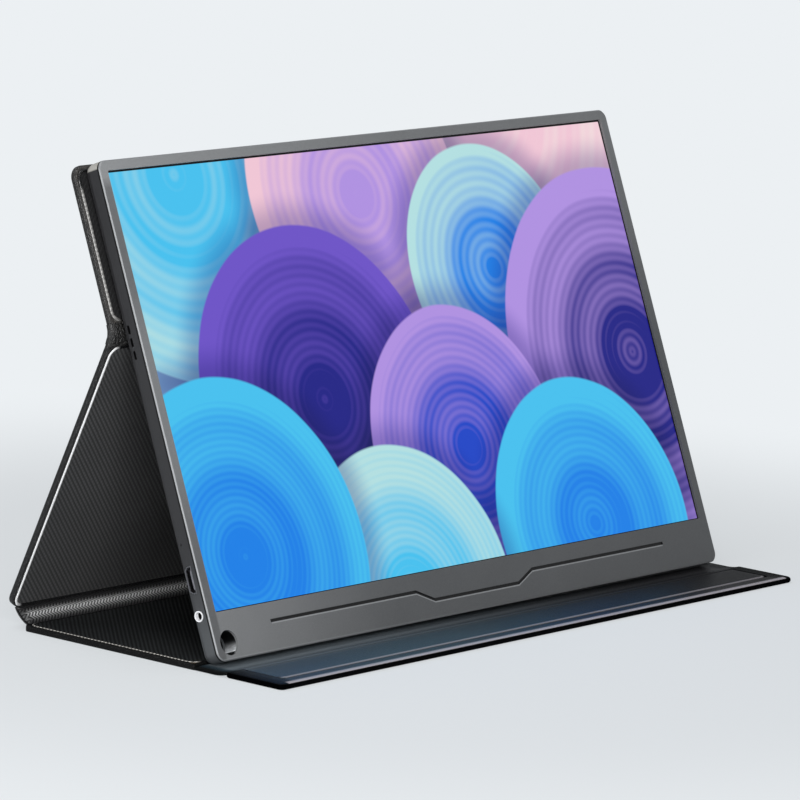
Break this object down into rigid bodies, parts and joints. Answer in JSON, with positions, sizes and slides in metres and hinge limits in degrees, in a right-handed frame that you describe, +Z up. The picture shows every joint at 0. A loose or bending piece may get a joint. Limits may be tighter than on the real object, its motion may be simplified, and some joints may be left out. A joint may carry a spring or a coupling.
{
  "type": "portable monitor with folding cover",
  "caption": "Thin portable monitor standing in a folding leather cover: the cover folds into a leg, a floor and a front lip, and opens flat.",
  "frame": {"origin": "on the table, under the middle of the cover's footprint", "axes": "+X to the right seen from the front, +Y to the rear, +Z up"},
  "size_m": [0.367, 0.1595, 0.209],
  "materials": {
    "frame_metal": "fine bead-blasted dark grey anodised metal with a bright cut chamfer",
    "shell_metal": "satin charcoal",
    "screen": null,
    "film": "milky plastic sheet",
    "led": "phosphor strip",
    "steel": "thin pressed steel",
    "steel_screw": "black oxide",
    "circuit_board": "solder mask",
    "black_plastic": "moulded black plastic",
    "flex": "polyimide film",
    "socket_steel": "plated socket shell",
    "bright_ring": "polished ring",
    "light_pipe": "clear light pipe",
    "button_metal": "satin dark button",
    "sleeve_plastic": "moulded dark grey tunnel",
    "pad": "foam adhesive pad",
    "fibreboard": "pressed fibreboard",
    "cover_leather": "grained black leather",
    "smooth_leather": "smooth black leather with a pressed line",
    "twill_lining": "dark diagonal twill"
  },
  "bodies": {
    "floor_panel": {"floor_leather": "cover_leather", "floor_board": "fibreboard", "floor_lining": "twill_lining", "lip_fold": "cover_leather"},
    "front_lip": {"lip_leather": "smooth_leather", "lip_board": "fibreboard"},
    "spine": {"spine_core": "black_plastic", "spine_leather": "cover_leather", "spine_lining": "twill_lining"},
    "leg": {"leg_leather": "cover_leather", "leg_board": "fibreboard", "leg_lining": "twill_lining"},
    "monitor": {"rear_shell": "shell_metal", "front_frame": "frame_metal", "lcd_glass": "screen", "diffuser_films": "film", "light_guide": "film", "led_strip": "led", "panel_tray": "steel", "main_board": "circuit_board", "board_chips": "black_plastic", "panel_flex": "flex", "video_socket": "socket_steel", "data_sockets": "socket_steel", "audio_jack": "black_plastic", "audio_ring": "bright_ring", "status_light": "light_pipe", "speaker_left": "black_plastic", "speaker_right": "black_plastic", "switch_board": "circuit_board", "pen_sleeve": "sleeve_plastic", "shell_screws": "steel_screw", "mount_pad": "pad", "top_board": "fibreboard", "top_leather": "cover_leather", "top_lining": "twill_lining", "upper_fold": "cover_leather"},
    "power_button": {"power_button": "button_metal"},
    "menu_rocker": {"menu_rocker": "button_metal"}
  },
  "joints": [
    {"name": "lip_fold", "type": "hinge", "parent": "floor_panel", "child": "front_lip", "pos_m": [0, -0.04133, 0.001], "axis": [-1, 0, 0], "range_deg": [0, 100], "deforming": ["lip_fold"]},
    {"name": "spine_fold", "type": "hinge", "parent": "floor_panel", "child": "spine", "pos_m": [0, 0.07493, 0.0014], "axis": [-1, 0, 0], "range_deg": [0, 36.05], "deforming": ["spine_leather", "spine_lining"]},
    {"name": "leg_fold", "type": "hinge", "parent": "spine", "child": "leg", "pos_m": [0, 0.08455, 0.0084], "axis": [-1, 0, 0], "range_deg": [0, 76.97]},
    {"name": "top_fold", "type": "hinge", "parent": "leg", "child": "monitor", "pos_m": [0, 0.03021, 0.13643], "axis": [1, 0, 0], "range_deg": [0, 44.72], "deforming": ["upper_fold"]},
    {"name": "power_press", "type": "slide", "parent": "monitor", "child": "power_button", "axis": [-1, 0, 0], "range_m": [0, 0.0005], "stiffness_N_per_m": 600, "springref_m": -0.0006},
    {"name": "rocker_press", "type": "slide", "parent": "monitor", "child": "menu_rocker", "axis": [-1, 0, 0], "range_m": [0, 0.0005], "stiffness_N_per_m": 600, "springref_m": -0.0006}
  ],
  "couplings": [
    {"joint": "spine_fold", "follows": "leg_fold", "ratio": 0.46814},
    {"joint": "top_fold", "follows": "leg_fold", "ratio": 0.58076}
  ]
}
